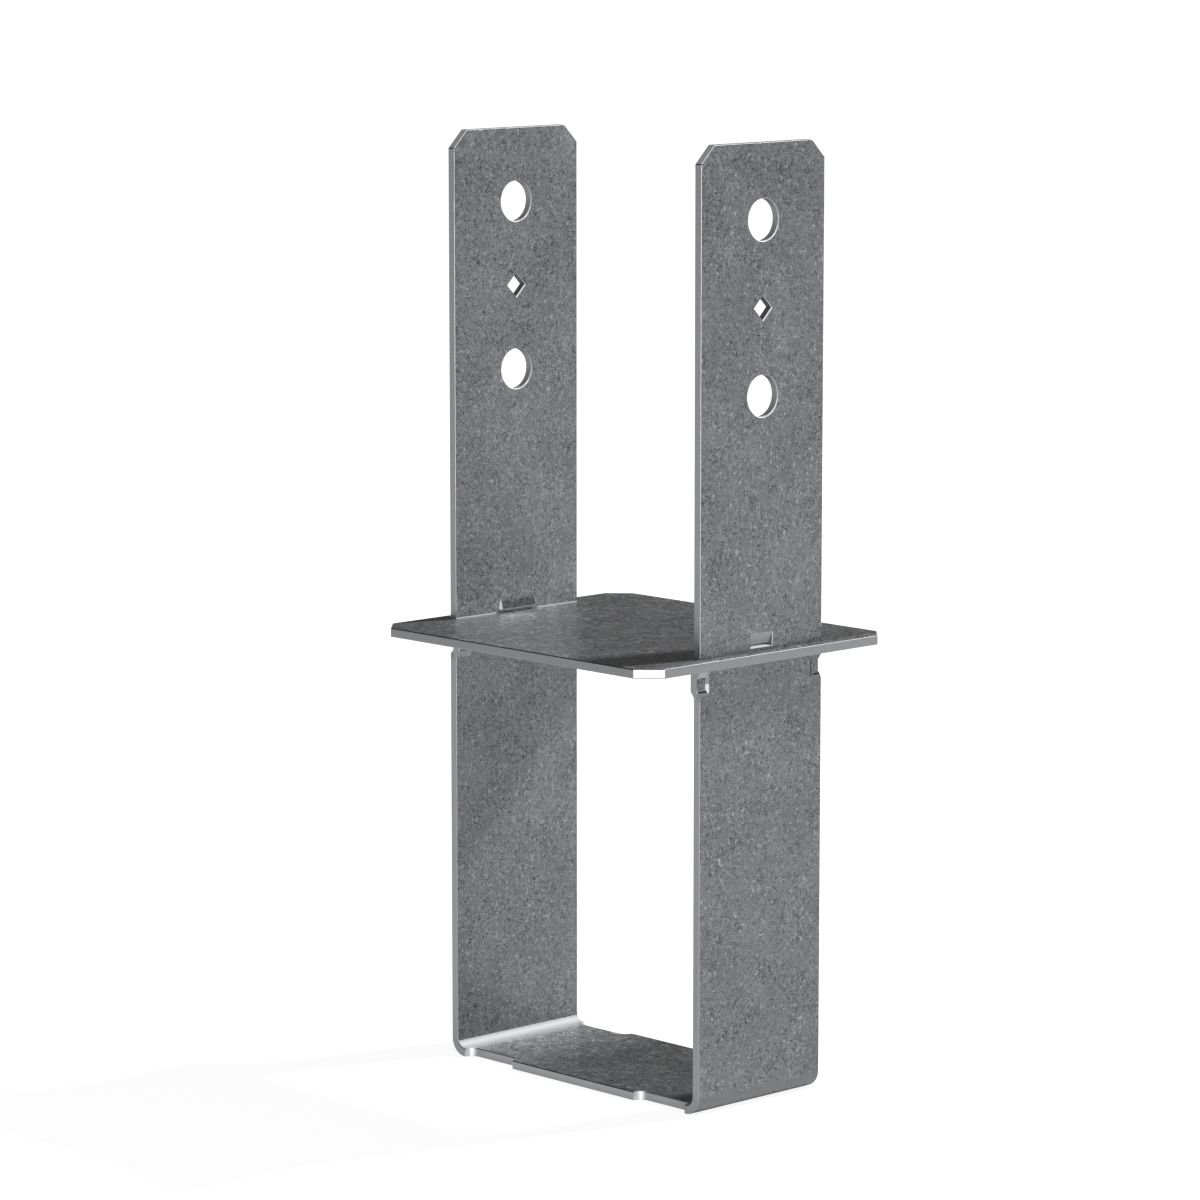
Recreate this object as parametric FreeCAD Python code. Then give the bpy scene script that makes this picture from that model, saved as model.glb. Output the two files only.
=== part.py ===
import FreeCAD, Part
import math
import os

from FreeCAD import Vector

# Timber post base. X runs from leg to leg, Y along the width of the strap, Z up.
# The origin is under the middle of the web, on the face that the base stands on.

# Strap, one flat bar folded into a U
STRAP_WIDTH = 76.2
STRAP_THICKNESS = 4.0
STRAP_HEIGHT = 426.5
CLEAR_SPAN = 153.8
BEND_INNER_RADIUS = 4.2
TOP_CORNER_CUT = 8.0
EDGE_ROUNDING = 0.4

# Holes in each leg, placed down from the top edge
BOLT_HOLE_DIAMETER = 18.5
FIRST_BOLT_HOLE_DROP = 33.5
BOLT_HOLE_PITCH = 76.8
NAIL_HOLE_SIDE = 7.6
HOLE_RIM_BEVEL = 0.4

# Notches that narrow the web on both sides of its full-width middle
WEB_MIDDLE_LENGTH = 79.5
NOTCH_DEPTH = 4.6
NOTCH_RUNOUT_RADIUS = 4.6
NOTCH_BEND_GAP = 0.7

# Base plate, slotted over the legs, which it passes at both ends by its rim
PLATE_END_RIM = 7.35
PLATE_WIDTH = 152.5
PLATE_THICKNESS = 4.2
PLATE_CORNER_CUT = 9.6
PLATE_UNDERSIDE_HEIGHT = 199.8
PLATE_EDGE_ROUNDING = 0.4
SLOT_CLEARANCE = 0.3

# Half-dimples at the edges of the legs, pressed inwards as a seat for the plate
DIMPLE_HEIGHT = 14.2
DIMPLE_BULGE = 2.2
DIMPLE_BULGE_WIDTH = 9.2
DIMPLE_POCKET_DEPTH = 2.1
DIMPLE_POCKET_INNER_DEPTH = 1.2
DIMPLE_POCKET_WIDTH = 5.6
DIMPLE_POCKET_TOP_INSET = 2.1
DIMPLE_POCKET_BOTTOM_INSET = 1.2
DIMPLE_SLOPE = 3.0
DIMPLE_SIDE_SLOPE = 2.2
DIMPLE_ROUNDING = 0.6
DIMPLE_POCKET_SIDE_SLOPE = 1.1

# Tabs sheared along their lower edge and pressed inwards over the plate
TAB_GAP = 1.5
TAB_HEIGHT = 5.3
TAB_BULGE = 1.6
TAB_BULGE_WIDTH = 23.6
TAB_LIP_WIDTH = 20.8
TAB_POCKET_DEPTH = 1.6
TAB_POCKET_WIDTH = 13.7
TAB_POCKET_LIP_WIDTH = 10.9
TAB_POCKET_HEIGHT = 6.3
TAB_POCKET_RISE = 1.0
TAB_POCKET_DROP = 0.2
TAB_ROUNDING = 0.35

# Values worked out from the driving dimensions
INNER_FACE = CLEAR_SPAN / 2
OUTER_FACE = INNER_FACE + STRAP_THICKNESS
HALF_WIDTH = STRAP_WIDTH / 2
BEND_OUTER_RADIUS = BEND_INNER_RADIUS + STRAP_THICKNESS
FLAT_WEB_END = OUTER_FACE - BEND_OUTER_RADIUS
PLATE_LENGTH = 2 * (OUTER_FACE + PLATE_END_RIM)
PLATE_TOP = PLATE_UNDERSIDE_HEIGHT + PLATE_THICKNESS
TAB_LIP = PLATE_TOP + TAB_GAP
# Length by which a cutting shape runs past the metal that it cuts
OVERRUN = 2.0
# Length by which a bulge is sunk in the leg that carries it
BULGE_ROOT = 1.0
# Smallest turn between two faces that counts as a crease
CREASE_ANGLE = 20.0
LENGTH_TOLERANCE = 1e-4


def box(x_range, y_range, z_range):
    size = [high - low for low, high in (x_range, y_range, z_range)]
    corner = Vector(x_range[0], y_range[0], z_range[0])
    return Part.makeBox(size[0], size[1], size[2], corner)


def prism(points, direction):
    face = Part.Face(Part.makePolygon(points + points[:1]))
    return face.extrude(direction)


def mirrored(shape, normal):
    return shape.mirror(Vector(0, 0, 0), normal)


def four_corners(shape):
    """The shape and its copies mirrored in X, in Y and in both."""
    pair = [shape, mirrored(shape, Vector(1, 0, 0))]
    return pair + [mirrored(one, Vector(0, 1, 0)) for one in pair]


def pressing(solid, base, depth, rounding, backing):
    """A pressed form, its edges off the face rounded and its base outline run on towards +X.

    The backing sinks a bulge in the leg that carries it, and lets a pocket's cutter stand out
    of the face that it cuts.
    """
    face_x = base[0].x
    pressed_edges = [edge for edge in solid.Edges if edge.BoundBox.XMin < face_x - depth / 2]
    smooth = solid.makeFillet(rounding, pressed_edges)
    return smooth.fuse(prism(base, Vector(backing, 0, 0))).removeSplitter()


def pressed_rectangle(base_range, floor_range, face_x, depths, backing):
    """Pressed form with a flat floor, between a rectangle on the face and one at the depths.

    Each range is (lowest y, highest y, lowest z, highest z). The depths are those of the floor
    at its lowest and at its highest y.
    """
    outlines = []
    for (y0, y1, z0, z1), (d0, d1) in ((base_range, (0, 0)), (floor_range, depths)):
        x0, x1 = face_x - d0, face_x - d1
        outlines.append([Vector(x0, y0, z0), Vector(x1, y1, z0), Vector(x1, y1, z1), Vector(x0, y0, z1)])
    wires = [Part.makePolygon(points + points[:1]) for points in outlines]
    loft = Part.makeLoft(wires, True, True)
    return pressing(loft, outlines[0], min(depths), DIMPLE_ROUNDING, backing)


def arc_at(centre, radius, start_degrees, end_degrees):
    """Arc in the XZ plane, its angles counted from +X towards +Z."""
    middle_degrees = (start_degrees + end_degrees) / 2
    points = []
    for degrees in (start_degrees, middle_degrees, end_degrees):
        angle = math.radians(degrees)
        points.append(centre + Vector(radius * math.cos(angle), 0, radius * math.sin(angle)))
    return Part.Arc(*points).toShape()


def u_section():
    """Closed outline of the folded bar, in the plane of the strap's front edge."""
    y = -HALF_WIDTH
    top = STRAP_HEIGHT
    right_centre = Vector(FLAT_WEB_END, y, BEND_OUTER_RADIUS)
    left_centre = Vector(-FLAT_WEB_END, y, BEND_OUTER_RADIUS)

    def line(x0, z0, x1, z1):
        return Part.makeLine(Vector(x0, y, z0), Vector(x1, y, z1))

    edges = [
        line(OUTER_FACE, top, OUTER_FACE, BEND_OUTER_RADIUS),
        arc_at(right_centre, BEND_OUTER_RADIUS, 0, -90),
        line(FLAT_WEB_END, 0, -FLAT_WEB_END, 0),
        arc_at(left_centre, BEND_OUTER_RADIUS, -90, -180),
        line(-OUTER_FACE, BEND_OUTER_RADIUS, -OUTER_FACE, top),
        line(-OUTER_FACE, top, -INNER_FACE, top),
        line(-INNER_FACE, top, -INNER_FACE, BEND_OUTER_RADIUS),
        arc_at(left_centre, BEND_INNER_RADIUS, -180, -90),
        line(-FLAT_WEB_END, STRAP_THICKNESS, FLAT_WEB_END, STRAP_THICKNESS),
        arc_at(right_centre, BEND_INNER_RADIUS, -90, 0),
        line(INNER_FACE, BEND_OUTER_RADIUS, INNER_FACE, top),
        line(INNER_FACE, top, OUTER_FACE, top),
    ]
    return Part.Face(Part.Wire(edges))


def top_corner_cutter():
    """Wedge that takes the corner off both legs at once."""
    low = STRAP_HEIGHT - TOP_CORNER_CUT
    high = STRAP_HEIGHT + OVERRUN
    inner = HALF_WIDTH - TOP_CORNER_CUT
    reach = TOP_CORNER_CUT + OVERRUN
    x = -OUTER_FACE - OVERRUN
    points = [
        Vector(x, inner - OVERRUN, high),
        Vector(x, inner + reach, high),
        Vector(x, inner + reach, low - OVERRUN),
    ]
    return prism(points, Vector(2 * (OUTER_FACE + OVERRUN), 0, 0))


def web_notch_cutter():
    """Notch in one edge of the web, with a curved run-out at each end."""
    start = WEB_MIDDLE_LENGTH / 2
    end = FLAT_WEB_END - NOTCH_BEND_GAP
    floor = HALF_WIDTH - NOTCH_DEPTH
    radius = max(NOTCH_RUNOUT_RADIUS, NOTCH_DEPTH)
    runout = math.sqrt(radius ** 2 - (radius - NOTCH_DEPTH) ** 2)
    half_angle = math.acos(1 - NOTCH_DEPTH / radius) / 2
    sag_x = radius * math.sin(half_angle)
    sag_y = radius * (1 - math.cos(half_angle))
    z = -OVERRUN
    outside = HALF_WIDTH + OVERRUN
    edges = [
        Part.makeLine(Vector(start, outside, z), Vector(start, HALF_WIDTH, z)),
        Part.Arc(
            Vector(start, HALF_WIDTH, z),
            Vector(start + runout - sag_x, floor + sag_y, z),
            Vector(start + runout, floor, z),
        ).toShape(),
        Part.makeLine(Vector(start + runout, floor, z), Vector(end - runout, floor, z)),
        Part.Arc(
            Vector(end - runout, floor, z),
            Vector(end - runout + sag_x, floor + sag_y, z),
            Vector(end, HALF_WIDTH, z),
        ).toShape(),
        Part.makeLine(Vector(end, HALF_WIDTH, z), Vector(end, outside, z)),
        Part.makeLine(Vector(end, outside, z), Vector(start, outside, z)),
    ]
    face = Part.Face(Part.Wire(edges))
    return face.extrude(Vector(0, 0, STRAP_THICKNESS + 2 * OVERRUN))


def bolt_hole_heights():
    first = STRAP_HEIGHT - FIRST_BOLT_HOLE_DROP
    return first, first - BOLT_HOLE_PITCH


def diamond(x, side, height):
    """Corners of a square that stands on its corner, round the middle line of a leg."""
    reach = side / math.sqrt(2)
    return [
        Vector(x, -reach, height),
        Vector(x, 0, height - reach),
        Vector(x, reach, height),
        Vector(x, 0, height + reach),
    ]


def bolt_hole_cutter(height):
    """Round hole through one leg, its rims bevelled on both faces."""
    radius = BOLT_HOLE_DIAMETER / 2
    flare = HOLE_RIM_BEVEL + OVERRUN
    low = INNER_FACE - OVERRUN
    high = OUTER_FACE + OVERRUN
    outwards = Vector(1, 0, 0)
    hole = Part.makeCylinder(radius, high - low, Vector(low, 0, height), outwards)
    inner_rim = Part.makeCone(radius + flare, radius, flare, Vector(low, 0, height), outwards)
    outer_start = Vector(high - flare, 0, height)
    outer_rim = Part.makeCone(radius, radius + flare, flare, outer_start, outwards)
    return hole.fuse([inner_rim, outer_rim])


def nail_hole_cutter(height):
    """Diamond hole through one leg, its rims bevelled on both faces."""
    flare = HOLE_RIM_BEVEL + OVERRUN
    low = INNER_FACE - OVERRUN
    high = OUTER_FACE + OVERRUN
    flared_side = NAIL_HOLE_SIDE + 2 * flare
    sections = [
        diamond(low, flared_side, height),
        diamond(low + flare, NAIL_HOLE_SIDE, height),
        diamond(high - flare, NAIL_HOLE_SIDE, height),
        diamond(high, flared_side, height),
    ]
    wires = [Part.makePolygon(points + points[:1]) for points in sections]
    return Part.makeLoft(wires, True, True)


def leg_hole_cutters():
    """Two bolt holes and the nail hole between them, in both legs."""
    heights = bolt_hole_heights()
    cutters = [bolt_hole_cutter(height) for height in heights]
    cutters.append(nail_hole_cutter(sum(heights) / len(heights)))
    return cutters + [mirrored(one, Vector(1, 0, 0)) for one in cutters]


def dimple_top():
    """Height of the shoulder's root, whose slope then just touches the slot's rounded lower edge."""
    slope_length = math.hypot(DIMPLE_SLOPE, DIMPLE_BULGE)
    rounding = PLATE_EDGE_ROUNDING
    reach = DIMPLE_SLOPE * (SLOT_CLEARANCE + rounding) - rounding * slope_length
    return PLATE_UNDERSIDE_HEIGHT + rounding + reach / DIMPLE_BULGE


def dimple_bulge():
    """Inward side of one half-dimple, open at the edge of the strap."""
    edge = HALF_WIDTH
    inner = edge - DIMPLE_BULGE_WIDTH
    high = dimple_top()
    low = high - DIMPLE_HEIGHT
    base = (inner, edge, low, high)
    floor = (inner + DIMPLE_SIDE_SLOPE, edge, low + DIMPLE_SLOPE, high - DIMPLE_SLOPE)
    return pressed_rectangle(base, floor, INNER_FACE, (DIMPLE_BULGE, DIMPLE_BULGE), BULGE_ROOT)


def dimple_pocket():
    """Outward side of one half-dimple, deepest at the edge of the strap."""
    outside = HALF_WIDTH + OVERRUN
    inner = HALF_WIDTH - DIMPLE_POCKET_WIDTH
    floor_inner = inner + DIMPLE_POCKET_SIDE_SLOPE
    high = dimple_top() - DIMPLE_POCKET_TOP_INSET
    low = dimple_top() - DIMPLE_HEIGHT + DIMPLE_POCKET_BOTTOM_INSET
    fall = (DIMPLE_POCKET_DEPTH - DIMPLE_POCKET_INNER_DEPTH) / (HALF_WIDTH - floor_inner)
    depths = (DIMPLE_POCKET_INNER_DEPTH, DIMPLE_POCKET_DEPTH + fall * OVERRUN)
    base = (inner, outside, low, high)
    floor = (floor_inner, outside, low + DIMPLE_SLOPE, high - DIMPLE_SLOPE)
    return pressed_rectangle(base, floor, OUTER_FACE, depths, OVERRUN)


def tab_wedge(face_x, depth, widths, heights, backing):
    """Wedge that starts level with a face of the leg and is deepest at its lip.

    Widths and heights are each those of the hinge, where the wedge starts, of the root below it
    on the same face, and of the lip.
    """
    hinge, root, lip = [width / 2 for width in widths]
    hinge_z, root_z, lip_z = heights
    hinge_points = [Vector(face_x, side * hinge, hinge_z) for side in (-1, 1)]
    root_points = [Vector(face_x, side * root, root_z) for side in (-1, 1)]
    lip_points = [Vector(face_x - depth, side * lip, lip_z) for side in (-1, 1)]
    corners = zip(hinge_points, root_points, lip_points)
    ends = [Part.makePolygon(list(points) + [points[0]]) for points in corners]
    base = [hinge_points[0], hinge_points[1], root_points[1], root_points[0]]
    return pressing(Part.makeLoft(ends, True, True), base, depth, TAB_ROUNDING, backing)


def tab_bulge():
    widths = (TAB_LIP_WIDTH, TAB_BULGE_WIDTH, TAB_LIP_WIDTH)
    heights = (TAB_LIP + TAB_HEIGHT, TAB_LIP, TAB_LIP)
    return tab_wedge(INNER_FACE, TAB_BULGE, widths, heights, BULGE_ROOT)


def tab_pocket():
    widths = (TAB_POCKET_WIDTH, TAB_POCKET_WIDTH, TAB_POCKET_LIP_WIDTH)
    heights = (TAB_LIP + TAB_POCKET_HEIGHT, TAB_LIP - TAB_POCKET_DROP, TAB_LIP + TAB_POCKET_RISE)
    return tab_wedge(OUTER_FACE, TAB_POCKET_DEPTH, widths, heights, OVERRUN)


def crease_degrees(shape, edge):
    """Angle between the two faces that meet at an edge, 0 where they run smoothly on."""
    faces = shape.ancestorsOfType(edge, Part.Face)
    if len(faces) != 2:
        return 0.0
    middle = edge.valueAt((edge.FirstParameter + edge.LastParameter) / 2)
    normals = [face.normalAt(*face.Surface.parameter(middle)) for face in faces]
    return math.degrees(normals[0].getAngle(normals[1]))


def rounded(sheet, thickness, radius):
    """The sheet with its creased edges rounded, apart from the short ones through its thickness."""
    solid = sheet.Solids[0]
    creases = []
    for edge in solid.Edges:
        along_a_face = abs(edge.Length - thickness) > LENGTH_TOLERANCE
        if along_a_face and crease_degrees(solid, edge) > CREASE_ANGLE:
            creases.append(edge)
    return solid.makeFillet(radius, creases)


def folded_bar():
    """The U with its cut corners, its edges rounded as shearing and zinc leave them."""
    bar = u_section().extrude(Vector(0, STRAP_WIDTH, 0))
    corner = top_corner_cutter()
    bar = bar.cut([corner, mirrored(corner, Vector(0, 1, 0))])
    return rounded(bar.removeSplitter(), STRAP_THICKNESS, EDGE_ROUNDING)


def u_strap():
    bulges = four_corners(dimple_bulge())
    bulges += [tab_bulge(), mirrored(tab_bulge(), Vector(1, 0, 0))]
    cutters = four_corners(web_notch_cutter()) + leg_hole_cutters()
    cutters += four_corners(dimple_pocket())
    cutters += [tab_pocket(), mirrored(tab_pocket(), Vector(1, 0, 0))]
    return folded_bar().fuse(bulges).cut(cutters).removeSplitter()


def base_plate():
    x = PLATE_LENGTH / 2
    y = PLATE_WIDTH / 2
    cut = PLATE_CORNER_CUT
    z = PLATE_UNDERSIDE_HEIGHT
    outline = [
        Vector(-x + cut, -y, z),
        Vector(x - cut, -y, z),
        Vector(x, -y + cut, z),
        Vector(x, y - cut, z),
        Vector(x - cut, y, z),
        Vector(-x + cut, y, z),
        Vector(-x, y - cut, z),
        Vector(-x, -y + cut, z),
    ]
    plate = prism(outline, Vector(0, 0, PLATE_THICKNESS))
    half_slot = HALF_WIDTH + SLOT_CLEARANCE
    slot = box(
        (INNER_FACE - SLOT_CLEARANCE, OUTER_FACE + SLOT_CLEARANCE),
        (-half_slot, half_slot),
        (PLATE_UNDERSIDE_HEIGHT - OVERRUN, PLATE_TOP + OVERRUN),
    )
    plate = plate.cut([slot, mirrored(slot, Vector(1, 0, 0))])
    return rounded(plate, PLATE_THICKNESS, PLATE_EDGE_ROUNDING)


def main():
    os.makedirs("parts", exist_ok=True)
    pieces = {"u_strap": u_strap(), "base_plate": base_plate()}
    for name, shape in pieces.items():
        solid = shape.Solids[0] if len(shape.Solids) == 1 else shape
        solid.exportStep("parts/" + name + ".step")
        volume = round(shape.Volume, 1)
        print(name, "solids", len(shape.Solids), "valid", shape.isValid(), "volume", volume)


main()
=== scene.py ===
import math

import bpy
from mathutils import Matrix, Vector


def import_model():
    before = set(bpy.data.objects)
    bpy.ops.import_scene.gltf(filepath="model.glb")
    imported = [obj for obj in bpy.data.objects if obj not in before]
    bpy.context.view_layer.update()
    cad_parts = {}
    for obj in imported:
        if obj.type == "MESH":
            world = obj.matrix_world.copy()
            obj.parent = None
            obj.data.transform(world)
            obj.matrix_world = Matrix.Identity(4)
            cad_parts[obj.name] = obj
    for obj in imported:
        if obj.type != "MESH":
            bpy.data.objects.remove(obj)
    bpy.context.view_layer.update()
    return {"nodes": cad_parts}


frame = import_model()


def reach(node, axis):
    """Lowest and highest coordinate of a CAD node along one of its axes."""
    values = [corner[axis] for corner in frame["nodes"][node].bound_box]
    return min(values), max(values)


def band(base, low, high):
    """Two places at a distance from a base: the ends of a zone, or of a fade."""
    return base + low, base + high


# Camera of the photograph, in metres, degrees and millimetres of lens
CAMERA_PLACE = (1.59526, -1.54721, 0.55645)
CAMERA_AZIMUTH = 46.263
CAMERA_ELEVATION = 8.676
CAMERA_LENS = 149.777
SENSOR_WIDTH = 36.0
CLIP_START = 0.05
CLIP_END = 50.0

# Sizes of the object that its zones follow from, in metres
SHEET = 0.004
BEND_RADIUS = 0.0082
LEG_OUTER = reach("u_strap", 0)[1]
STRAP_EDGE = reach("u_strap", 1)[1]
STRAP_TOP = reach("u_strap", 2)[1]
PLATE_UNDERSIDE, PLATE_TOP = reach("base_plate", 2)

# Zones of the web and its bends
LEG_MIDDLE = LEG_OUTER - SHEET / 2
FLAT_WEB_END = LEG_OUTER - BEND_RADIUS
BEND_TOP = SHEET + BEND_RADIUS
INNER_BEND_FADE = band(FLAT_WEB_END, -0.0067, 0.002)
OUTER_BEND_FADE = (0.003, 0.011)
BEND_FOOT_FADE = (0.0009, 0.0026)
TOP_LINE = 0.0005

# Zones of the half-dimples under the plate, where light and shade are painted
DIMPLE_BAND = band(PLATE_UNDERSIDE, -0.0143, 0.0)
# Bands of painted shade in the crease and of a painted shine
DIMPLE_CREASE = band(PLATE_UNDERSIDE, -0.0109, -0.0101)
DIMPLE_BRIGHT = band(PLATE_UNDERSIDE, -0.011, -0.0071)
# Painted shadow: a dark line on the outer face beside the half-dimples
SHADOW_LINE_BAND = band(PLATE_UNDERSIDE, -0.0113, -0.0033)
SHADOW_LINE_REACH = band(STRAP_EDGE, -0.0072, -0.0065)

# Zones of the tabs and of the legs just above the plate
# Painted highlight: a light line along the seam of the legs' inner faces and the plate
SEAM_BAND = band(PLATE_TOP, 0.0, 0.0006)
# Painted light: the legs' inner faces grow lighter towards the plate
FOOT_BAND = band(PLATE_TOP, 0.0, 0.03)
FOOT_FADE = band(PLATE_TOP, -0.004, 0.03)
FOOT_PAINTED_LIGHT_TONES = (1.75, 1.03)
TAB_BAND = band(PLATE_TOP, 0.0007, 0.0088)
# Painted shade: the tabs' bulges darker low down and a little lighter near the top
TAB_FADE = band(PLATE_TOP, 0.0045, 0.0072)
TAB_PAINTED_SHADE_TONES = (0.62, 1.15)
TAB_REACH = 0.0125
POCKET_CREASE = band(PLATE_TOP, 0.0021, 0.0026)
POCKET_REACH = 0.0072
POCKET_CREST = 0.0005

# Zones of the holes and of the cut corners
HOLES_LOW = STRAP_TOP - 0.1265
HOLE_REACH = 0.0097
SQUARE_HOLE_BAND = band(STRAP_TOP, -0.0799, -0.0639)
SQUARE_HOLE_REACH = 0.0075
CORNERS_LOW = STRAP_TOP - 0.0085
CORNER_LINE = band(STRAP_TOP, -0.0084, -0.0078)

# How far a face leans: limits and fades for one part of its normal
LEVEL = 0.9
LEVEL_FADE = (0.99, 0.999)
LEANING = 0.3
STEEP_WALL = 0.4
SIDE_ON = 0.5
FRONT = -0.5
FRONT_FADE = (-0.5, -0.3)
FACING_FADE = (-0.5, -0.2)
LEANING_FADE = (0.3, 0.5)
SLANT_FADE = (0.965, 0.985)
INNER_BEND_LEAN = (0.3, 0.4)
RUNOUT_LEAN = (0.25, 0.6)
HOLE_CEILING = (-0.95, -0.6)
HOLE_FLOOR = (0.05, 0.3)

# Fades between a sheared side, its rim and the wide face
SIDE_FADE = (0.25, 0.4)
FACE_FADE = (0.35, 0.5)
WIDE_FADE = (0.85, 0.95)

# Finishes of the zinc: tone, share of metal, roughness, relief, gloss at a flat angle
STRAP_SHEARED = (0.28, 0.8, 0.34, 0.0, 0.8)
PLATE_SHEARED = (0.23, 0.8, 0.34, 0.0, 0.8)
SIDE_RIM = (0.26, 0.9, 0.34, 0.0, 0.8)
END_RIM = (0.35, 0.9, 0.7, 0.0, 0.8)
# Painted shade: a dark line along top rims
TOP_RIM_PAINTED_SHADE = (0.06, 0.8, 0.34, 0.0, 0.0)
# Painted highlights on the rims of holes and cut corners facing the front, brightest on the holes' lower
# rims
HOLE_RIM_PAINTED_SHEEN = (0.4, 0.2, 0.5, 0.0, 0.8)
HOLE_RIM_PAINTED_HIGHLIGHT = (0.95, 0.0, 0.5, 0.0, 0.8)
CORNER_RIM_PAINTED_HIGHLIGHT = (1.0, 0.0, 0.5, 0.0, 0.8)
# Painted shade: dark tops of the legs
TOP_FACE_PAINTED_SHADE = (0.08, 0.1, 0.6, 0.0, 0.0)
# Painted highlight on the run-outs of the web's notches
RUNOUT_PAINTED_HIGHLIGHT = (0.6, 0.8, 0.34, 0.0, 0.8)
CUT = (0.3, 0.3, 0.55, 0.0, 0.8)
# Painted shade on the holes' ceilings and the square hole's sides
CUT_PAINTED_SHADE = (0.14, 0.3, 0.55, 0.0, 0.4)
# Painted light on the corner cuts facing the front
CORNER_CUT_PAINTED_LIGHT = (0.55, 0.3, 0.55, 0.0, 0.8)
# Plain, unmottled inner bends, lighter as a painted highlight
INNER_BEND_PAINTED_HIGHLIGHT = (0.38, 0.1, 0.6, 0.0, 0.8)
OUTER_BEND = (0.18, 0.6, 0.4, 0.15, 0.8)
# Painted shade along the foot of each bend
BEND_FOOT_PAINTED_SHADE = (0.1, 0.1, 0.6, 0.0, 0.0)
# Painted light and shade on the half-dimples: a lit and a shaded top, a shaded side with a painted shine,
# and a lit slope
DIMPLE_TOP_PAINTED_LIGHT = (0.5, 0.1, 0.6, 0.0, 0.8)
DIMPLE_TOP_PAINTED_SHADE = (0.22, 0.1, 0.6, 0.0, 0.8)
DIMPLE_SIDE_PAINTED_SHADE = (0.32, 0.1, 0.6, 0.0, 0.8)
DIMPLE_PAINTED_SHINE = (0.75, 0.1, 0.5, 0.0, 0.8)
DIMPLE_SLOPE_PAINTED_LIGHT = (0.4, 0.3, 0.6, 0.0, 0.8)
# Painted shade in the creases of pockets and half-dimples, and in the shadow line beside the half-dimples
CREASE_PAINTED_SHADE = (0.06, 0.3, 0.6, 0.0, 0.0)
# Painted highlights on the tabs' sides and lips
TAB_SIDE_PAINTED_HIGHLIGHT = (0.9, 0.1, 0.5, 0.0, 0.8)
TAB_LIP_PAINTED_HIGHLIGHT = (1.0, 0.0, 0.6, 0.0, 0.8)
# Painted highlight along the seam of legs and plate
SEAM_PAINTED_HIGHLIGHT = (0.6, 0.0, 0.6, 0.0, 0.8)
POCKET_FLOOR = (0.37, 0.35, 0.45, 0.0, 0.8)
# Painted shade on the pockets' side walls
POCKET_WALL_PAINTED_SHADE = (0.07, 0.4, 0.5, 0.0, 0.8)
POCKET_LIP = (0.3, 0.1, 0.6, 0.0, 0.8)
# Painted highlight on the pockets' crests
POCKET_CREST_PAINTED_HIGHLIGHT = (0.9, 0.1, 0.5, 0.0, 0.8)

# Mottle of the wide faces: grains per metre, and for a noise its detail and roughness too
SMALL_GRAINS = 1600.0
LARGE_GRAINS = 600.0
FINE_NOISE = (1300.0, 3.0, 0.7)
PATCHES = (240.0, 3.0, 0.6)
CLOUDS = (35.0, 3.0)
FLECKS = (480.0, 1.0)
SPOTS = (620.0, 1.0)
CALM_FLAKES = (130.0, 2.0)

# Share of each layer in the mottle, and how it is cut
SMALL_SHARE = 0.42
LARGE_SHARE = 0.26
FINE_SHARE = 1.3
PATCH_SHARE = 0.4
CLOUD_SHARE = 0.36
FLECK_SHARE = 0.5
SPOT_SHARE = -0.3
FLECK_FADE = (0.62, 0.76)
SPOT_FADE = (0.24, 0.36)
CALM_FADE = (0.36, 0.6)
CALM_CONTRAST = (0.72, 1.18)
MOTTLE_LOW = 0.68
MOTTLE_HIGH = 2.06
MOTTLE_MIDDLE = 1.37

# Tones, gloss and relief of the wide faces
FACE_TONE = 0.34
FACE_METAL = 0.6
FACE_ROUGHNESS = (0.3, 0.44)
WORN_FADE = (0.35, 1.0)
WORN_LARGE_SHARE = 0.3
EDGE_TINT = 0.8
SPECULAR = 0.1
LYING_SCALE = 0.6
LYING_RELIEF = 1.3
LYING_SHINE = 0.12
HEIGHT_SMALL_SHARE = 0.5
HEIGHT_LARGE_SHARE = 0.35
BUMP_STRENGTH = 0.4
BUMP_DEPTH = 0.00015
GREEN = 1.015
BLUE = 1.045

# Painted reflections of the legs in strips of the plate and the web beside a leg, and painted light on the
# plate's end: where they fade, and their tones from left to right
STRIP_SLOPE = 0.97
STRIP_START = (-0.125, -0.1)
STRIP_END = (-0.05, -0.024)
STRIP_REFLECTION_TONES = (1.06, 1.42, 1.03)
WEB_FADE = (-0.068, -0.01)
WEB_REFLECTION_TONES = (2.1, 0.88)
# Painted light on the plate's end past the leg at positive x
PLATE_END_FADE = band(LEG_OUTER, -0.0009, 0.0031)
PLATE_END_PAINTED_LIGHT = 1.5

# Light: direction, distance, size and power of each lamp, then the backdrop and the floor
KEY_LAMP = ((0.22, 0.69, 0.69), 3.0, 0.3, 160.0)
FRONT_LAMP = ((0.71, -0.69, 0.0), 2.2, 0.35, 24.0)
LAMP_TARGET = Vector((0.0, 0.0, 0.2))
WORLD_SOFT = 0.28
HORIZON_FADE = (-0.02, 0.045)
CEILING = 0.08
FLOOR_SIZE = 60.0
FLOOR_DROP = 0.0002
FLOOR_GREY = 0.3
FLOOR_FADE = (0.4, 2.5)
FLOOR_NEAR = 0.88


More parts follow.
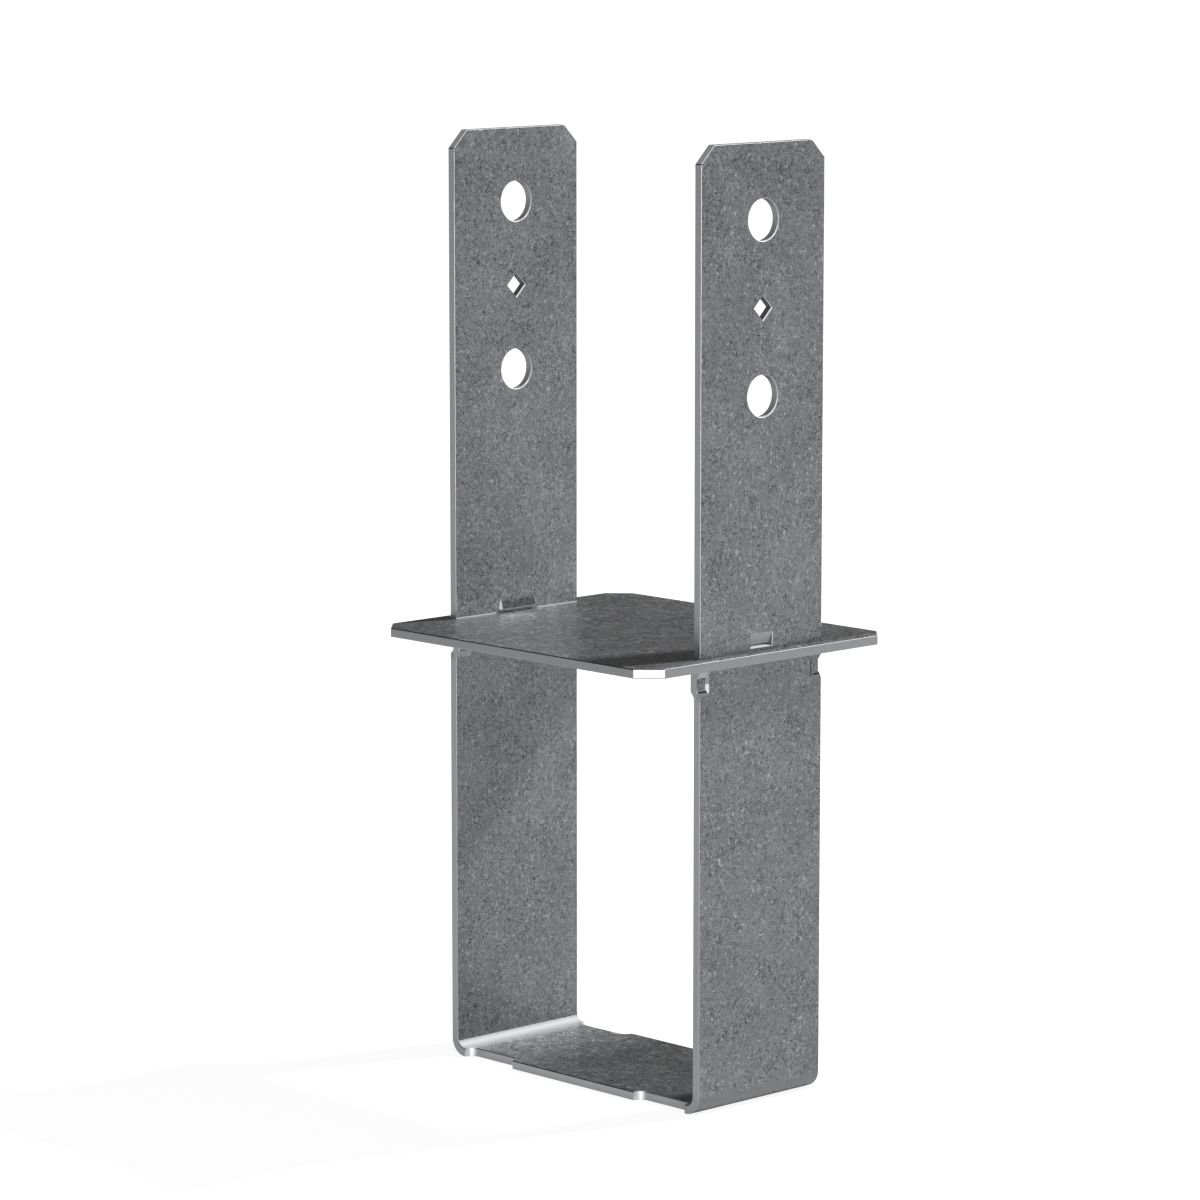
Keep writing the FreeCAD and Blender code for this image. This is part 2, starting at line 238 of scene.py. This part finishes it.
class Nodes:
    """Short calls for building one node tree. A mask is 1 inside its zone and 0 outside."""

    def __init__(self, tree):
        self.tree = tree
        tree.nodes.clear()

    def add(self, kind, inputs=None, **settings):
        node = self.tree.nodes.new(kind)
        for name, value in settings.items():
            setattr(node, name, value)
        for name, value in (inputs or {}).items():
            if isinstance(value, bpy.types.NodeSocket):
                self.tree.links.new(value, node.inputs[name])
            else:
                node.inputs[name].default_value = value
        return node

    def math(self, operation, *values):
        return self.add("ShaderNodeMath", dict(enumerate(values)), operation=operation).outputs[0]

    def size(self, value):
        return self.math("ABSOLUTE", value)

    def above(self, value, limit):
        return self.math("GREATER_THAN", value, limit)

    def under(self, value, limit):
        return self.math("LESS_THAN", value, limit)

    def between(self, value, low, high):
        return self.math("COMPARE", value, (low + high) / 2, (high - low) / 2)

    def invert(self, mask):
        return self.math("SUBTRACT", 1.0, mask)

    def both(self, *masks):
        total = masks[0]
        for mask in masks[1:]:
            total = self.math("MULTIPLY", total, mask)
        return total

    def mix(self, mask, low, high):
        return self.add("ShaderNodeMix", {0: mask, 2: low, 3: high}).outputs[0]

    def ramp(self, value, low, high, out_low=0.0, out_high=1.0):
        """Smooth step between two values, from one output to the other."""
        inputs = {"Value": value, 1: low, 2: high, 3: out_low, 4: out_high}
        return self.add("ShaderNodeMapRange", inputs, interpolation_type="SMOOTHSTEP").outputs[0]

    def fall(self, value, low, high):
        return self.ramp(value, low, high, 1.0, 0.0)

    def parts(self, vector):
        return self.add("ShaderNodeSeparateXYZ", {0: vector}).outputs

    def noise(self, place, scale, detail, roughness=0.5):
        inputs = {"Vector": place, "Scale": scale, "Detail": detail, "Roughness": roughness}
        return self.add("ShaderNodeTexNoise", inputs).outputs[0]

    def grains(self, place, scale):
        """Cells with one random value each."""
        cells = self.add("ShaderNodeTexVoronoi", {"Vector": place, "Scale": scale})
        return self.add("ShaderNodeSeparateColor", {"Color": cells.outputs["Color"]}).outputs[0]


class Surface:
    """Place and normal of a shaded point in the object's own coordinates, its masks and its mottle."""

    def __init__(self, n):
        coords = n.add("ShaderNodeTexCoord").outputs
        self.coords = coords["Object"]
        self.x, self.y, self.z = n.parts(self.coords)
        normal_x, self.normal_y, self.normal_z = n.parts(coords["Normal"])
        self.lean_x = n.size(normal_x)
        self.lean_y = n.size(self.normal_y)
        self.lean_z = n.size(self.normal_z)
        self.front = n.under(self.normal_y, FRONT)
        flat = self.flatness(n)
        self.face = n.ramp(flat, *FACE_FADE)
        self.wide = n.ramp(flat, *WIDE_FADE)
        self.side = n.fall(flat, *SIDE_FADE)
        self.rim = n.both(n.ramp(flat, *SIDE_FADE), n.invert(self.wide))
        self.mottled, self.height = mottle(n, self)


class PlateSurface(Surface):
    """The plate: its wide faces lie level."""

    def flatness(self, n):
        """1 on a wide face of the sheet and 0 on a sheared side."""
        return self.lean_z

    def zones(self, n):
        """Finishes under the rims and over them: a painted shade line on top of the sheared sides."""
        top = n.above(self.z, PLATE_TOP - TOP_LINE)
        painted_shade_top_line = n.both(self.front, top, n.under(self.lean_x, SIDE_ON))
        return [], [(painted_shade_top_line, TOP_RIM_PAINTED_SHADE)]


class StrapSurface(Surface):
    """The strap: its wide faces turn with the bends."""

    def flatness(self, n):
        """1 on a wide face of the sheet and 0 on a sheared side."""
        self.far_x, self.far_y = n.size(self.x), n.size(self.y)
        self.on_leg = n.above(self.z, BEND_TOP)
        self.on_web = n.under(self.far_x, FLAT_WEB_END)
        around_bend = n.math("SQRT", n.invert(n.both(self.lean_y, self.lean_y)))
        return n.mix(self.on_leg, n.mix(self.on_web, around_bend, self.lean_z), self.lean_x)

    def zones(self, n):
        """Finishes under the rims and over them, from the foot of the strap to its top."""
        self.outer_side = n.above(self.far_x, LEG_MIDDLE)
        self.slanted = n.fall(self.lean_x, *SLANT_FADE)
        self.sideways = n.above(self.lean_y, LEANING)
        self.upwards = n.above(self.normal_z, LEANING)
        self.downwards = n.under(self.normal_z, -LEANING)
        under_rims, over_rims = [], []
        for group in (self.bends, self.dimples, self.tabs, self.holes_and_corners):
            under, over = group(n)
            under_rims += under
            over_rims += over
        return under_rims, over_rims

    def bends(self, n):
        """The two bends, with a plain, lighter inner bend as painted highlight and painted shade at the
        foot of each, the web's top line in painted shade, and painted highlights at the ends of its eased
        edges.
        """
        below = n.invert(self.on_leg)
        beyond_web = n.invert(self.on_web)
        hollow = n.ramp(self.normal_z, *INNER_BEND_LEAN)
        inner = n.both(below, hollow, n.ramp(self.far_x, *INNER_BEND_FADE), self.wide)
        outer = n.both(self.outer_side, self.wide, n.fall(self.z, *OUTER_BEND_FADE))
        painted_foot = n.both(below, beyond_web, self.wide, n.fall(self.z, *BEND_FOOT_FADE))
        painted_shade_top_line = n.both(self.front, self.on_web, n.between(self.z, SHEET - TOP_LINE, SHEET))
        painted_runout_highlight = n.both(self.on_web, below, n.invert(self.wide), n.ramp(self.lean_x, *RUNOUT_LEAN))
        return (
            # Painted shade at the feet of the bends, and a lighter inner bend as painted highlight
            [(outer, OUTER_BEND), (painted_foot, BEND_FOOT_PAINTED_SHADE), (inner, INNER_BEND_PAINTED_HIGHLIGHT)],
            # Painted shade on the web's top line and painted highlights on the run-outs
            [(painted_shade_top_line, TOP_RIM_PAINTED_SHADE), (painted_runout_highlight, RUNOUT_PAINTED_HIGHLIGHT)],
        )

    def dimples(self, n):
        """The half-dimples under the plate: a painted shadow line beside them, and painted light and shade
        on their tops, sides and slopes.
        """
        across = n.both(self.outer_side, self.wide, n.between(self.y, *SHADOW_LINE_REACH))
        painted_shadow_line = n.both(across, n.between(self.z, *SHADOW_LINE_BAND))
        dimple = n.both(n.between(self.z, *DIMPLE_BAND), self.outer_side, self.slanted)
        top = n.both(dimple, self.downwards)
        side = n.both(dimple, self.sideways)
        slope = n.both(dimple, self.upwards)
        # Painted shadow line and crease shade, and painted light and shade on the tops, sides and slopes
        return [(painted_shadow_line, CREASE_PAINTED_SHADE)], [
            (n.both(top, n.under(self.y, 0.0)), DIMPLE_TOP_PAINTED_LIGHT),
            (n.both(top, n.above(self.y, 0.0)), DIMPLE_TOP_PAINTED_SHADE),
            (side, DIMPLE_SIDE_PAINTED_SHADE),
            (n.both(side, n.between(self.z, *DIMPLE_BRIGHT)), DIMPLE_PAINTED_SHINE),
            (slope, DIMPLE_SLOPE_PAINTED_LIGHT),
            (n.both(slope, n.between(self.z, *DIMPLE_CREASE)), CREASE_PAINTED_SHADE),
        ]

    def tabs(self, n):
        """The legs just above the plate: painted light at the feet of the inner faces, a painted highlight
        along the seam, painted shade and highlights on the tabs' bulges, and painted shade and highlights
        in their pockets.
        """
        inner_side = n.invert(self.outer_side)
        painted_foot = n.both(inner_side, n.between(self.z, *FOOT_BAND), self.wide)
        beside_tab = n.both(inner_side, n.above(self.far_y, TAB_REACH))
        painted_seam_highlight = n.both(n.between(self.z, *SEAM_BAND), beside_tab, self.wide)
        tab_height = n.between(self.z, *TAB_BAND)
        tab = n.both(tab_height, inner_side, n.under(self.far_y, TAB_REACH), self.slanted)
        tab_edge = n.both(tab, n.invert(self.wide))
        pocket = n.both(tab_height, self.outer_side, n.under(self.far_y, POCKET_REACH))
        pocket_wall = n.both(pocket, n.above(self.lean_y, STEEP_WALL))
        crest = n.above(self.far_y, POCKET_REACH - POCKET_CREST)
        under_rims = [
            # Painted light at the feet of the legs' inner faces
            (painted_foot, toned(n, self.mottled, n.ramp(self.z, *FOOT_FADE, *FOOT_PAINTED_LIGHT_TONES))),
            # Painted shade on the tabs' bulges
            (n.both(tab, self.wide), toned(n, self.mottled, n.ramp(self.z, *TAB_FADE, *TAB_PAINTED_SHADE_TONES))),
            # Painted highlight along the seam with the plate
            (painted_seam_highlight, SEAM_PAINTED_HIGHLIGHT),
        ]
        return under_rims, [
            # Painted highlights on the tabs' lips and sides
            (n.both(tab_edge, self.downwards), TAB_LIP_PAINTED_HIGHLIGHT),
            (n.both(tab_edge, self.sideways), TAB_SIDE_PAINTED_HIGHLIGHT),
            (n.both(pocket, self.slanted), POCKET_FLOOR),
            (n.both(pocket, self.upwards), POCKET_LIP),
            # Painted shade in the pockets' crease
            (n.both(pocket, n.between(self.z, *POCKET_CREASE)), CREASE_PAINTED_SHADE),
            # Painted shade on the pockets' walls and a painted highlight on their crests
            (pocket_wall, POCKET_WALL_PAINTED_SHADE),
            (n.both(pocket_wall, crest), POCKET_CREST_PAINTED_HIGHLIGHT),
        ]

    def holes_and_corners(self, n):
        """Cuts and rims of the holes and of the cut corners, with painted highlights and light where they
        face the front, painted shade in the holes' ceilings and the square hole, and the tops of the legs
        in painted shade.
        """
        holes = n.both(n.above(self.z, HOLES_LOW), n.under(self.far_y, HOLE_REACH))
        corners = n.above(self.z, CORNERS_LOW)
        square = n.both(n.between(self.z, *SQUARE_HOLE_BAND), n.under(self.far_y, SQUARE_HOLE_REACH))
        facing = n.fall(self.normal_y, *FACING_FADE)
        hole_rim = n.both(holes, self.rim, facing)
        # Painted light on the corner cuts, and painted shade on the holes' ceilings, the square hole and
        # the legs' tops
        under_rims = [
            (n.both(n.math("MAXIMUM", holes, corners), self.side), CUT),
            (n.both(holes, self.side, n.fall(self.normal_z, *HOLE_CEILING)), CUT_PAINTED_SHADE),
            (n.both(square, self.side), CUT_PAINTED_SHADE),
            (n.both(corners, self.side, facing), CORNER_CUT_PAINTED_LIGHT),
            (n.both(corners, self.side, n.above(self.normal_z, LEVEL)), TOP_FACE_PAINTED_SHADE),
        ]
        # Painted highlights on the front rims, and painted shade along the corners' top line
        return under_rims, [
            (hole_rim, HOLE_RIM_PAINTED_SHEEN),
            (n.both(hole_rim, n.ramp(self.normal_z, *HOLE_FLOOR)), HOLE_RIM_PAINTED_HIGHLIGHT),
            (n.both(corners, self.rim, facing), CORNER_RIM_PAINTED_HIGHLIGHT),
            (n.both(n.between(self.z, *CORNER_LINE), self.front), TOP_RIM_PAINTED_SHADE),
        ]


def toned(n, finish, factor):
    """The same finish with its tone multiplied."""
    return (n.math("MULTIPLY", finish[0], factor),) + finish[1:]


def painted_leg_reflection(n, surface):
    """Tone of a lying face, lighter in the strips of the plate and the web beside a leg as painted
    reflections, and lighter on the plate's end as painted light.
    """
    left, strip, right = STRIP_REFLECTION_TONES
    across = n.math("MULTIPLY_ADD", surface.x, STRIP_SLOPE, surface.y)
    on_plate = n.mix(n.ramp(across, *STRIP_END), n.ramp(across, *STRIP_START, left, strip), right)
    on_web = n.ramp(surface.x, *WEB_FADE, *WEB_REFLECTION_TONES)
    tone = n.mix(n.under(surface.z, BEND_TOP), on_plate, on_web)
    return n.math("MULTIPLY", tone, n.ramp(surface.x, *PLATE_END_FADE, 1.0, PLATE_END_PAINTED_LIGHT))


def mottle(n, surface):
    """Finish of a wide face with its grains, flecks and calmer flakes, the painted reflections and painted
    light of the lying faces, and the height of its relief.
    """
    lying = n.above(surface.lean_z, LEVEL)
    scaled = n.add(
        "ShaderNodeVectorMath",
        {0: surface.coords, "Scale": n.mix(lying, 1.0, LYING_SCALE)},
        operation="SCALE",
    )
    place = scaled.outputs[0]
    small = n.grains(place, SMALL_GRAINS)
    large = n.grains(place, LARGE_GRAINS)
    fine = n.noise(place, *FINE_NOISE)
    patch = n.noise(place, *PATCHES)
    layers = [
        (small, SMALL_SHARE),
        (large, LARGE_SHARE),
        (fine, FINE_SHARE),
        (patch, PATCH_SHARE),
        (n.noise(place, *CLOUDS), CLOUD_SHARE),
        (n.ramp(n.noise(place, *FLECKS), *FLECK_FADE), FLECK_SHARE),
        (n.fall(n.noise(place, *SPOTS), *SPOT_FADE), SPOT_SHARE),
    ]
    total = 0.0
    for layer, share in layers:
        total = n.math("MULTIPLY_ADD", layer, share, total)
    contrast = n.ramp(n.noise(place, *CALM_FLAKES), *CALM_FADE, *CALM_CONTRAST)
    total = n.math("MULTIPLY_ADD", n.math("SUBTRACT", total, MOTTLE_MIDDLE), contrast, MOTTLE_MIDDLE)

    # The tone of lying faces carries the painted reflections and the painted light on the plate's end
    shade = n.math("MULTIPLY", n.mix(lying, 1.0, painted_leg_reflection(n, surface)), FACE_TONE)
    speckle = n.add("ShaderNodeMapRange", {"Value": total, 1: MOTTLE_LOW, 2: MOTTLE_HIGH, 3: 0.0, 4: shade})
    level = n.ramp(surface.lean_z, *LEVEL_FADE)
    wear = n.math("MULTIPLY_ADD", large, WORN_LARGE_SHARE, patch)
    roughness = n.math("MULTIPLY_ADD", level, -LYING_SHINE, n.ramp(wear, *WORN_FADE, *FACE_ROUGHNESS))
    relief = n.mix(level, 1.0, LYING_RELIEF)
    coarse = n.math("MULTIPLY_ADD", large, HEIGHT_LARGE_SHARE, fine)
    height = n.math("MULTIPLY_ADD", small, HEIGHT_SMALL_SHARE, coarse)
    return (speckle.outputs[0], FACE_METAL, roughness, relief, EDGE_TINT), height


def rims(n, surface):
    """Finishes of the eased rims: along the sides, at the ends, and painted shade round the top."""
    up_or_down = n.ramp(surface.lean_z, *LEANING_FADE)
    along_ends = n.both(up_or_down, n.fall(surface.lean_y, *LEANING_FADE))
    along_top = n.both(n.ramp(surface.normal_z, *LEANING_FADE), n.fall(surface.normal_y, *FRONT_FADE))
    return [
        (surface.rim, SIDE_RIM),
        (n.both(surface.rim, along_ends), END_RIM),
        (n.both(surface.rim, along_top), TOP_RIM_PAINTED_SHADE),
    ]


def zinc(name, surface_kind, sheared):
    """Galvanised sheet: mottled wide faces, plain sheared sides, eased rims and the node's own zones, many
    of which paint light and shade.
    """
    material = bpy.data.materials.new(name)
    material.use_nodes = True
    n = Nodes(material.node_tree)
    surface = surface_kind(n)
    under_rims, over_rims = surface.zones(n)
    finish = sheared
    for mask, other in [(surface.face, surface.mottled)] + under_rims + rims(n, surface) + over_rims:
        finish = [n.mix(mask, old, new) for old, new in zip(finish, other)]
    tone, metal, roughness, relief, gloss = finish

    bump = n.add("ShaderNodeBump", {
        "Strength": n.math("MULTIPLY", relief, BUMP_STRENGTH),
        "Distance": BUMP_DEPTH,
        "Height": surface.height,
    })
    colour = n.add("ShaderNodeCombineColor", {
        0: tone,
        1: n.math("MULTIPLY", tone, GREEN),
        2: n.math("MULTIPLY", tone, BLUE),
    })
    shader = n.add("ShaderNodeBsdfPrincipled", {
        "Base Color": colour.outputs[0],
        "Metallic": metal,
        "Roughness": roughness,
        "Specular IOR Level": SPECULAR,
        "Specular Tint": gloss,
        "Normal": bump.outputs[0],
    })
    n.add("ShaderNodeOutputMaterial", {"Surface": shader.outputs[0]})
    return material


def dress(node, material):
    for slot in frame["nodes"][node].material_slots:
        slot.material = material


def grey(level):
    return (level, level, level, 1.0)


def camera():
    data = bpy.data.cameras.new("camera")
    data.sensor_width = SENSOR_WIDTH
    data.lens = CAMERA_LENS
    data.clip_start = CLIP_START
    data.clip_end = CLIP_END
    obj = bpy.data.objects.new("camera", data)
    bpy.context.scene.collection.objects.link(obj)
    obj.location = CAMERA_PLACE
    obj.rotation_euler = (math.radians(90 - CAMERA_ELEVATION), 0.0, math.radians(CAMERA_AZIMUTH))
    bpy.context.scene.camera = obj


def seen_ray(n):
    """1 for rays that look at the background straight or by reflection, 0 for soft light."""
    path = n.add("ShaderNodeLightPath").outputs
    seen = n.math("MAXIMUM", path["Is Camera Ray"], path["Is Glossy Ray"])
    return n.math("MAXIMUM", seen, path["Is Transmission Ray"])


def world():
    """Soft light from all round, seen as a white horizon under a dark ceiling."""
    made = bpy.data.worlds.new("studio")
    made.use_nodes = True
    bpy.context.scene.world = made
    n = Nodes(made.node_tree)
    rise = n.parts(n.add("ShaderNodeTexCoord").outputs["Generated"])[2]
    backdrop = n.ramp(rise, *HORIZON_FADE, 1.0, CEILING)
    strength = n.mix(seen_ray(n), WORLD_SOFT, backdrop)
    shade = n.add("ShaderNodeBackground", {"Color": grey(1.0), "Strength": strength})
    n.add("ShaderNodeOutputWorld", {"Surface": shade.outputs[0]})


def lamp(name, direction, distance, size, power):
    """Round area lamp that looks at the middle of the object from a direction."""
    data = bpy.data.lights.new(name, "AREA")
    data.shape = "DISK"
    data.size = size
    data.energy = power
    obj = bpy.data.objects.new(name, data)
    bpy.context.scene.collection.objects.link(obj)
    away = Vector(direction).normalized()
    obj.location = LAMP_TARGET + away * distance
    obj.rotation_euler = away.to_track_quat("Z", "Y").to_euler()
    obj.visible_camera = False


def floor():
    """Plain floor that shows white, a little greyer near the object, and keeps its shadow."""
    bpy.ops.mesh.primitive_plane_add(size=FLOOR_SIZE, location=(0.0, 0.0, -FLOOR_DROP))
    obj = bpy.context.object
    obj.name = "floor"
    material = bpy.data.materials.new("floor_white")
    material.use_nodes = True
    n = Nodes(material.node_tree)
    matt = n.add("ShaderNodeBsdfDiffuse", {"Color": grey(FLOOR_GREY)})
    place = n.add("ShaderNodeTexCoord").outputs["Object"]
    away = n.add("ShaderNodeVectorMath", {0: place}, operation="LENGTH").outputs["Value"]
    white = n.ramp(away, *FLOOR_FADE, FLOOR_NEAR, 1.0)
    glow = n.add("ShaderNodeEmission", {"Strength": n.math("MULTIPLY", seen_ray(n), white)})
    shader = n.add("ShaderNodeAddShader", {0: matt.outputs[0], 1: glow.outputs[0]})
    n.add("ShaderNodeOutputMaterial", {"Surface": shader.outputs[0]})
    obj.data.materials.append(material)


bpy.context.scene.view_settings.view_transform = "Standard"
camera()
dress("u_strap", zinc("strap_zinc", StrapSurface, STRAP_SHEARED))
dress("base_plate", zinc("plate_zinc", PlateSurface, PLATE_SHEARED))
world()
lamp("key", *KEY_LAMP)
lamp("front", *FRONT_LAMP)
floor()
